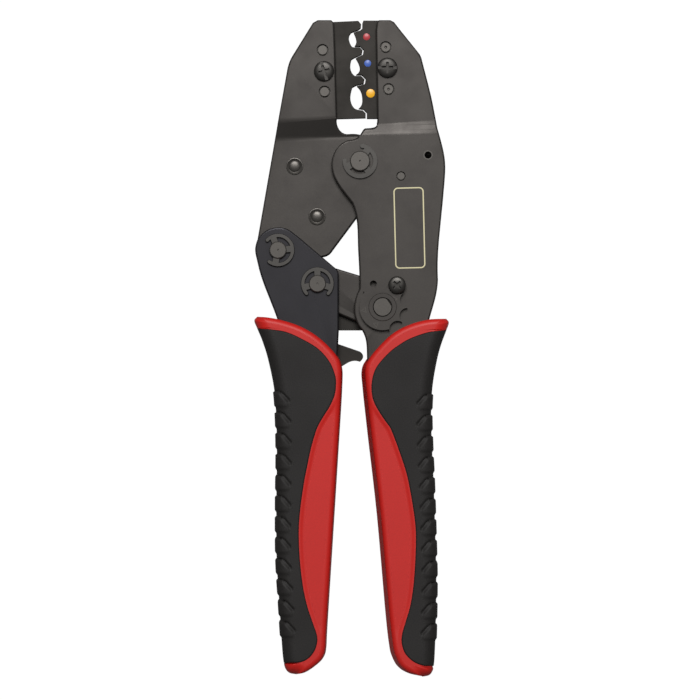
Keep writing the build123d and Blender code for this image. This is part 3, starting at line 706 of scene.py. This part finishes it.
    def build(self, paints: Paints) -> None:
        """Make both mouldings, dress them and hang them on their body."""
        self.prepare()
        word = self.side.name.lower()
        core = self.core()
        if self.pocket:
            bm = bmesh.new()
            for x0, y0, x1, y1 in self.pocket:
                block(bm, self.datum.at(x0, y0, -2.8), self.datum.at(x1, y1, 2.8))
            cut(core, bm, "lever_pocket")
        paint(core, paints.get(Finish.RED))
        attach(core, self.body)
        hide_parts(f"{word}_grip_core")
        cover = self.cover()
        skin = cover.modifiers.new("skin", "SOLIDIFY")
        skin.thickness = self.cover_wall * MM
        skin.offset = -1.0
        paint(cover, paints.get(Finish.BLACK))
        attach(cover, self.body)
        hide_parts(f"{word}_grip_cover")
        LOG.info("%s grip: %d and %d faces", word, len(core.data.polygons), len(cover.data.polygons))


def left_grip(datum: Datum) -> Grip:
    """The moving handle's grip."""
    return Grip(
        side=Side.LEFT, body="handle", datum=datum, first_rib=-80.8, draft=0.35,
        inner=[(-36.0, -54.5), (-32.0, -54.8), (-26.3, -56.0), (-20.0, -58.3), (-14.0, -62.1),
               (-8.6, -67.4), (-6.4, -71.6), (-6.2, -79.0), (-7.6, -102.6), (-9.4, -131.3),
               (-11.4, -163.0), (-11.8, -170.5), (-12.6, -173.6), (-14.6, -176.0), (-18.6, -178.8),
               (-22.3, -179.7)],
        outer=[(-36.0, -54.5), (-37.0, -55.9), (-36.0, -58.6), (-34.3, -62.7), (-32.3, -69.0),
               (-30.2, -79.0), (-29.4, -88.5), (-29.1, -103.3), (-29.3, -120.0), (-29.2, -139.0),
               (-28.3, -154.4), (-27.3, -170.0), (-26.75, -175.3), (-26.1, -177.7), (-24.7, -179.2),
               (-22.3, -179.7)],
        seam=[(-36.0, -58.6), (-31.5, -58.9), (-25.9, -59.8), (-20.0, -62.4), (-14.5, -65.8),
              (-10.6, -70.3), (-8.6, -75.3), (-8.4, -78.8), (-8.9, -82.1), (-10.6, -86.0),
              (-13.1, -90.0), (-15.1, -93.8), (-17.0, -100.1), (-18.4, -106.6), (-19.7, -113.4),
              (-20.9, -122.2), (-21.4, -130.0), (-21.0, -139.7), (-19.9, -149.0), (-18.4, -155.8),
              (-16.4, -161.8), (-15.2, -165.3), (-14.9, -168.0), (-15.8, -171.2), (-17.9, -173.9),
              (-21.0, -175.4), (-26.4, -175.6)],
        panel=(-86.0, -165.0), pocket=[(-32.0, -61.5, 3.0, -50.0), (-17.3, -79.5, -8.8, -61.0),
                                        (-9.0, -73.6, 3.0, -60.9)])


def right_grip(datum: Datum) -> Grip:
    """The fixed handle's grip, the same moulding turned over."""
    return Grip(
        side=Side.RIGHT, body="frame", datum=datum, first_rib=-81.8, draft=1.2,
        inner=[(30.2, -55.2), (24.0, -55.5), (17.5, -57.2), (12.0, -60.0), (7.0, -64.3),
               (2.4, -69.3), (0.6, -73.2), (0.9, -79.5), (2.7, -96.0), (5.9, -123.9),
               (8.9, -158.0), (10.2, -169.5), (11.2, -173.6), (13.3, -177.2), (16.8, -179.4),
               (21.8, -180.55)],
        outer=[(30.2, -55.2), (31.1, -56.6), (30.2, -59.4), (28.3, -64.6), (26.8, -70.5),
               (25.4, -79.0), (24.9, -88.0), (25.2, -100.0), (25.8, -113.0), (26.6, -139.0),
               (26.7, -150.0), (26.5, -163.0), (26.2, -172.0), (25.9, -176.2), (25.4, -178.5),
               (24.2, -180.0), (21.8, -180.55)],
        seam=[(30.2, -59.2), (26.5, -59.5), (22.7, -60.2), (17.5, -62.1), (14.0, -64.1), (10.5, -66.7),
              (7.0, -70.4), (5.2, -73.2), (4.2, -76.6), (4.0, -80.2), (4.6, -83.7), (6.3, -87.2),
              (8.8, -91.0), (10.9, -94.2), (14.2, -103.0), (16.8, -111.7), (19.1, -125.3),
              (19.5, -133.7), (18.9, -146.0), (17.7, -154.9), (15.9, -161.3), (14.7, -165.6),
              (14.6, -169.0), (15.9, -172.5), (18.9, -175.3), (22.4, -176.6), (25.4, -176.7)],
        panel=(-87.0, -166.0))


# ------------------------------------------------------------------------------ steel pieces
@dataclass
class SteelWork:
    """Every metal piece of the frame, eased along its edges."""

    nodes: dict[str, bpy.types.Object]
    datum: Datum
    adjuster: tuple[float, float] = (7.9, -51.1)
    edges: dict[str, float] = field(default_factory=lambda: {
        "plate": 0.06, "rolled": 0.6, "die": 0.2, "pin": 0.12, "clip": 0.14, "screw": 0.12})

    def size_of(self, node: str) -> tuple[Vector, float, float]:
        """Foot of a round node's axis, its radius and its height, in millimetres but for the foot."""
        low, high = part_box(node)
        foot = Vector(((low.x + high.x) / 2, (low.y + high.y) / 2, low.z))
        return foot, (high.x - low.x) / 2 / MM, (high.z - low.z) / MM

    def dowel(self, node: str, centred: bool) -> bpy.types.Object:
        """A dowel whose end stands in a dark groove, with a lathe centre if asked."""
        foot, r, h = self.size_of(node)
        end = [(r - 0.42, h - 2.2), (r - 0.42, h - 0.12), (r - 0.54, h)]
        dimple = [(0.5, h), (0.28, h - 0.2), (0.0, h - 0.3)] if centred else [(0.0, h)]
        return turned(f"{node}_turned", [(0, 0), (r - 0.3, 0), (r, 0.3), (r, h - 2.2), *end, *dimple], foot)

    def pin(self, node: str, shank: float) -> bpy.types.Object:
        """A headed pin seen from its plain end, with the lathe centre left in it."""
        foot, r, h = self.size_of(node)
        return turned(f"{node}_turned", [
            (0, 0), (r - 0.4, 0), (r, 0.4), (r, 1.9), (shank, 1.9), (shank, h - 0.3), (shank - 0.3, h),
            (0.32, h), (0.2, h - 0.12), (0, h - 0.18)], foot)

    def plain_pin(self, node: str) -> bpy.types.Object:
        """A pin cut flush with the plate, in a fine dark groove."""
        foot, r, h = self.size_of(node)
        return turned(f"{node}_turned", [(0, 0), (r - 0.2, 0), (r, 0.2), (r, h - 2.0), (r - 0.3, h - 2.0),
                                         (r - 0.3, h - 0.1), (r - 0.4, h), (0, h)], foot)

    def shaft(self, node: str) -> bpy.types.Object:
        """The eccentric shaft, with a gap left round it where it passes through the wheel."""
        piece = eased_copy(self.nodes[node], f"{node}_eased", 0.1)
        foot = self.datum.at(*self.adjuster, 0)
        top = (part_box(node)[1].z - foot.z) / MM
        bm = bmesh.new()
        tube(bm, foot, (3.08, 4.2), (top - 1.5, top + 1))
        cut(piece, bm, "shaft_gap")
        return piece

    def rivet(self, node: str) -> bpy.types.Object:
        """A domed rivet in a shallow dished rim, alike at both ends."""
        foot, r, h = self.size_of(node)
        dome = [(1.95 * math.cos(a), h - 0.62 + 0.45 * math.sin(a))
                for a in np.linspace(0, math.pi / 2, 10)]
        top = [(r, h - 0.62), (r - 0.12, h - 0.5), (r - 0.3, h - 0.47), (2.5, h - 0.62),
               (2.05, h - 0.8), *dome[:-1], (0, h - 0.17)]
        back = [(0, 0), (1.2, 0.1), (1.95, 0.6), (r - 0.2, 0.6), (r, 0.72)]
        return turned(f"{node}_turned", back + top, foot, rims=False)

    def screw(self, node: str, turn_deg: float) -> bpy.types.Object:
        """A screw with a rounded head, a cross recess and, on the dies, a slot right across."""
        foot, r, h = self.size_of(node)
        slotted = node.endswith("die_screw")
        neck = min(1.95, r / 2)
        crown = [(r * math.cos(a) ** 0.62, h - 0.85 + 0.85 * math.sin(a))
                 for a in np.linspace(0, math.pi / 2, 14)]
        shank = [(0, 0), (neck - 0.25, 0), (neck, 0.25), (neck, h - 1.7), (r, h - 1.7)]
        piece = turned(f"{node}_turned", [*shank, *crown[:-1], (0, h)], foot, rims=False)
        top, turn = foot + Vector((0, 0, h)) * MM, math.radians(turn_deg)
        bm = bmesh.new()
        cross = [(2.0, 0.46, 1.4), (0.46, 2.0, 1.4)] if slotted else [(1.7, 0.4, 1.2), (0.4, 1.7, 1.2)]
        for half_long, half_wide, deep in cross + [(4.0, 0.55, 0.5)] * slotted:
            block(bm, top + Vector((-half_long, -half_wide, -deep)) * MM,
                  top + Vector((half_long, half_wide, 1.0)) * MM, turn, top)
        block(bm, top + Vector((-0.8, -0.8, -1.2)) * MM, top + Vector((0.8, 0.8, 1.0)) * MM,
              turn + math.pi / 4, top)
        cut(piece, bm, "recess")
        return self.eased(piece, 0.1)

    def enamel(self, node: str) -> bpy.types.Object:
        """A bead of enamel in a punched mark."""
        foot, r, h = self.size_of(node)
        return turned(f"{node}_bead", [(0, 0), (r, 0), (r - 0.05, 0.03), (r - 0.18, 0.05),
                                       (r * 0.7, h * 0.85), (0, h)], foot)

    def eased(self, piece: bpy.types.Object, width_mm: float) -> bpy.types.Object:
        """Ease a piece's sharp edges."""
        bevel = piece.modifiers.new("eased_edges", "BEVEL")
        bevel.width = width_mm * MM
        bevel.segments = 2
        bevel.limit_method = "ANGLE"
        bevel.angle_limit = math.radians(CREASE_DEG)
        # Eased edges take the second material, the painted edge shade
        bevel.material = 1
        return piece

    def shape(self, node: str, width_mm: float) -> bpy.types.Object:
        """The looks of one node."""
        if "dowel" in node:
            return self.dowel(node, node.startswith("fixed"))
        if node in ("main_pivot_pin", "handle_pivot_pin", "link_pin"):
            return self.pin(node, 3.5 if node.startswith("main") else 3.0)
        if node in ("frame_spring_pin", "pawl_spring_pin", "pawl_pin"):
            return self.plain_pin(node)
        if node == "eccentric_shaft":
            return self.shaft(node)
        if node.startswith("jaw_rivet"):
            return self.rivet(node)
        if node.endswith("screw"):
            return self.screw(node, {"fixed_die_screw": 0.0, "moving_die_screw": 108.0}.get(node, 45.0))
        if node.startswith("mark_"):
            return self.enamel(node)
        stamped = "_plate" in node and node != "ratchet_plate"
        return eased_copy(self.nodes[node], f"{node}_eased", 0.06 if stamped else width_mm,
                          self.edges["rolled"] if stamped else 0.0)

    def finish_of(self, node: str) -> tuple[Finish, str, float]:
        """Finish, record slot and edge width of a node."""
        if node.startswith("mark_"):
            return Finish[node.upper()], f"{node[5:]}_enamel", 0.04
        # Handle plates take the darker copy of the plate oxide, painted shade
        if node.startswith("handle_plate"):
            return Finish.HANDLE, "plate_steel", self.edges["plate"]
        if "plate" in node and node != "ratchet_plate":
            return Finish.PLATE, "plate_steel", self.edges["plate"]
        if node in ("fixed_die", "moving_die", "ratchet_plate", "ratchet_pawl"):
            return Finish.DIE, "die_steel", self.edges["die"]
        if node.endswith(("clip", "return_spring", "pawl_spring")):
            return Finish.SPRING, "spring_steel", self.edges["clip"]
        if node == "adjuster_wheel":
            return Finish.PLATE, "screw_steel", WHEEL_EASE_MM
        if node.endswith(("screw", "nut")):
            return Finish.SCREW, "screw_steel", self.edges["screw"]
        return Finish.PIN, "pin_steel", self.edges["pin"]

    def build(self, paints: Paints) -> None:
        """Ease and dress each metal node."""
        for name, source in sorted(self.nodes.items()):
            if "grip" in name:
                continue
            finish, slot, width = self.finish_of(name)
            piece = self.shape(name, width)
            # The second material is the painted edge shade on rims, slopes and eased edges
            paint(piece, paints.get(finish), paints.get(Finish.EDGE))
            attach(piece, source["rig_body"])
            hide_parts(name)
        LOG.info("steel pieces eased")


@dataclass
class PlateMarks:
    """The printed border on the frame plate and the turning marks cut in the star wheel."""

    datum: Datum
    plate_face: float = 8.2
    centre: tuple[float, float] = (17.3, -23.4)
    size: tuple[float, float] = (10.6, 28.4)
    corner: float = 1.6
    line: float = 0.42
    tilt_deg: float = 1.4
    film: float = 0.03
    arrow_size: float = 1.15
    arrows: tuple = ((12.0, -48.3, -90.0), (1.5, -52.2, 100.0), (5.6, -57.2, 190.0))
    locator: tuple[float, float] = (23.8, 2.1)

    def hollow(self, bm: bmesh.types.BMesh, name: str, line: float, place: Vector, turn_deg: float,
               ) -> bpy.types.Object:
        """Turn a flat face into a thin raised line round its edge."""
        bmesh.ops.inset_region(bm, faces=bm.faces[:], thickness=line, use_even_offset=True,
                               use_boundary=True)
        middle = max(bm.faces, key=lambda face: face.calc_area())
        bmesh.ops.delete(bm, geom=[middle], context="FACES")
        raised = bmesh.ops.extrude_face_region(bm, geom=bm.faces[:])
        lifted = [part for part in raised["geom"] if isinstance(part, bmesh.types.BMVert)]
        bmesh.ops.translate(bm, verts=lifted, vec=(0, 0, self.film))
        bmesh.ops.rotate(bm, verts=bm.verts, cent=(0, 0, 0),
                         matrix=Matrix.Rotation(math.radians(turn_deg), 3, "Z"))
        bmesh.ops.scale(bm, verts=bm.verts, vec=(MM, MM, MM))
        bmesh.ops.translate(bm, verts=bm.verts, vec=place)
        bmesh.ops.recalc_face_normals(bm, faces=bm.faces)
        return finish_mesh(bm, name)

    def border(self) -> bpy.types.Object:
        """A rounded rectangle of ink, a hair above the plate."""
        bm = bmesh.new()
        bmesh.ops.create_circle(bm, cap_ends=True, segments=48, radius=self.corner)
        for vert in bm.verts:
            vert.co.x += math.copysign(self.size[0] / 2 - self.corner, vert.co.x)
            vert.co.y += math.copysign(self.size[1] / 2 - self.corner, vert.co.y)
        place = self.datum.at(*self.centre, self.plate_face + 0.005)
        return self.hollow(bm, "plate_border", self.line, place, self.tilt_deg)

    def arrow(self, number: int, x: float, y: float, turn_deg: float) -> bpy.types.Object:
        """A small three-cornered turning mark on the star wheel."""
        bm = bmesh.new()
        bmesh.ops.create_circle(bm, cap_ends=True, segments=3, radius=self.arrow_size)
        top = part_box("adjuster_wheel")[1].z - 0.3 * MM
        place = self.datum.at(x, y, 0)
        place.z = top + 0.003 * MM
        return self.hollow(bm, f"wheel_arrow_{number}", 0.16, place, turn_deg)

    def countersink(self) -> bpy.types.Object:
        """A flat ring of the lighter pin oxide round the locator hole, a painted highlight on its
        countersunk edge.
        """
        bm = bmesh.new()
        tube(bm, self.datum.at(*self.locator, self.plate_face), (1.27, 1.62), (0.0, 0.05))
        return finish_mesh(bm, "locator_hole_painted_highlight")

    def build(self, paints: Paints) -> None:
        """Make and dress the marks."""
        pieces = [(self.border(), Finish.INK, "frame", "plate_steel"),
                  # The ring round the locator hole is a painted highlight
                  (self.countersink(), Finish.PIN, "frame", "plate_steel")]
        pieces += [(self.arrow(number, *where), Finish.PIN, "adjuster", "screw_steel")
                   for number, where in enumerate(self.arrows)]
        for piece, finish, body, slot in pieces:
            paint(piece, paints.get(finish))
            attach(piece, body)
        LOG.info("plate marks made")


# ------------------------------------------------------------------------------ studio
@dataclass
class Studio:
    """White table, one soft box above and behind the jaws, and a camera straight above."""

    datum: Datum
    view_mm: float = 245.0
    lens_mm: float = 400.0
    face_mm: float = 8.0

    def floor(self) -> None:
        """A wide white surface under the tool, lit from below where the camera sees it."""
        bm = bmesh.new()
        bmesh.ops.create_grid(bm, x_segments=1, y_segments=1, size=3.0)
        bmesh.ops.translate(bm, verts=bm.verts, vec=(0, 0, -0.0002))
        obj = finish_mesh(bm, "table_top")
        material = bpy.data.materials.new("white_light_table")
        material.use_nodes = True
        tree = material.node_tree
        tree.nodes.clear()
        matt = add_node(tree, "ShaderNodeBsdfDiffuse", {"Color": linear("8c8c8b")})
        glow = add_node(tree, "ShaderNodeEmission", {"Color": linear("ffffff"), "Strength": 1.1})
        seen = add_node(tree, "ShaderNodeLightPath").outputs["Is Camera Ray"]
        share = add_node(tree, "ShaderNodeMath", {0: seen, 1: 0.91}, operation="MULTIPLY")
        both = add_node(tree, "ShaderNodeMixShader", {0: share.outputs[0], 1: matt.outputs[0],
                        2: glow.outputs[0]})
        add_node(tree, "ShaderNodeOutputMaterial", {"Surface": both.outputs[0]})
        paint(obj, material)

    def camera(self) -> None:
        """A long lens above the middle of the view, so that nothing leans."""
        data = bpy.data.cameras.new("camera")
        data.lens = self.lens_mm
        data.sensor_width = 36.0
        data.clip_start, data.clip_end = 0.01, 20.0
        cam = bpy.data.objects.new("camera", data)
        bpy.context.scene.collection.objects.link(cam)
        distance = self.view_mm * self.lens_mm / data.sensor_width
        cam.location = self.datum.at(-3.5, -66.15, self.face_mm + distance)
        bpy.context.scene.camera = cam

    def lamp(self, name: str, place: tuple[float, float, float], size: float, power: float) -> None:
        """A square soft box aimed at the middle of the tool."""
        data = bpy.data.lights.new(name, "AREA")
        data.shape = "SQUARE"
        data.size = size
        data.energy = power
        obj = bpy.data.objects.new(name, data)
        bpy.context.scene.collection.objects.link(obj)
        obj.location = place
        obj.rotation_mode = "QUATERNION"
        obj.rotation_quaternion = (Vector((0, 0.1, 0)) - Vector(place)).to_track_quat("-Z", "Y")

    def build(self) -> None:
        """Set up table, light, camera and plain colour handling."""
        self.floor()
        self.camera()
        self.lamp("top_softbox", (0.0, 0.62, 1.15), 0.6, 18.0)
        world = bpy.data.worlds.new("studio")
        world.use_nodes = True
        world.node_tree.nodes["Background"].inputs["Color"].default_value = linear("ffffff")
        world.node_tree.nodes["Background"].inputs["Strength"].default_value = 0.2
        bpy.context.scene.world = world
        bpy.context.scene.view_settings.view_transform = "Standard"
        LOG.info("studio ready")


def main() -> None:
    """Load the frame and build each sub-assembly on it."""
    logging.basicConfig(level=logging.INFO)
    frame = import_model()
    pivot = next(j for j in frame["joints"] if j["name"] == "jaw_swing")["pos_m"]
    datum = Datum(Vector(pivot))
    paints = Paints()
    Studio(datum).build()
    SteelWork(frame["nodes"], datum).build(paints)
    for make in (left_grip, right_grip):
        make(datum).build(paints)
    PlateMarks(datum).build(paints)


if __name__ == "__main__":
    main()
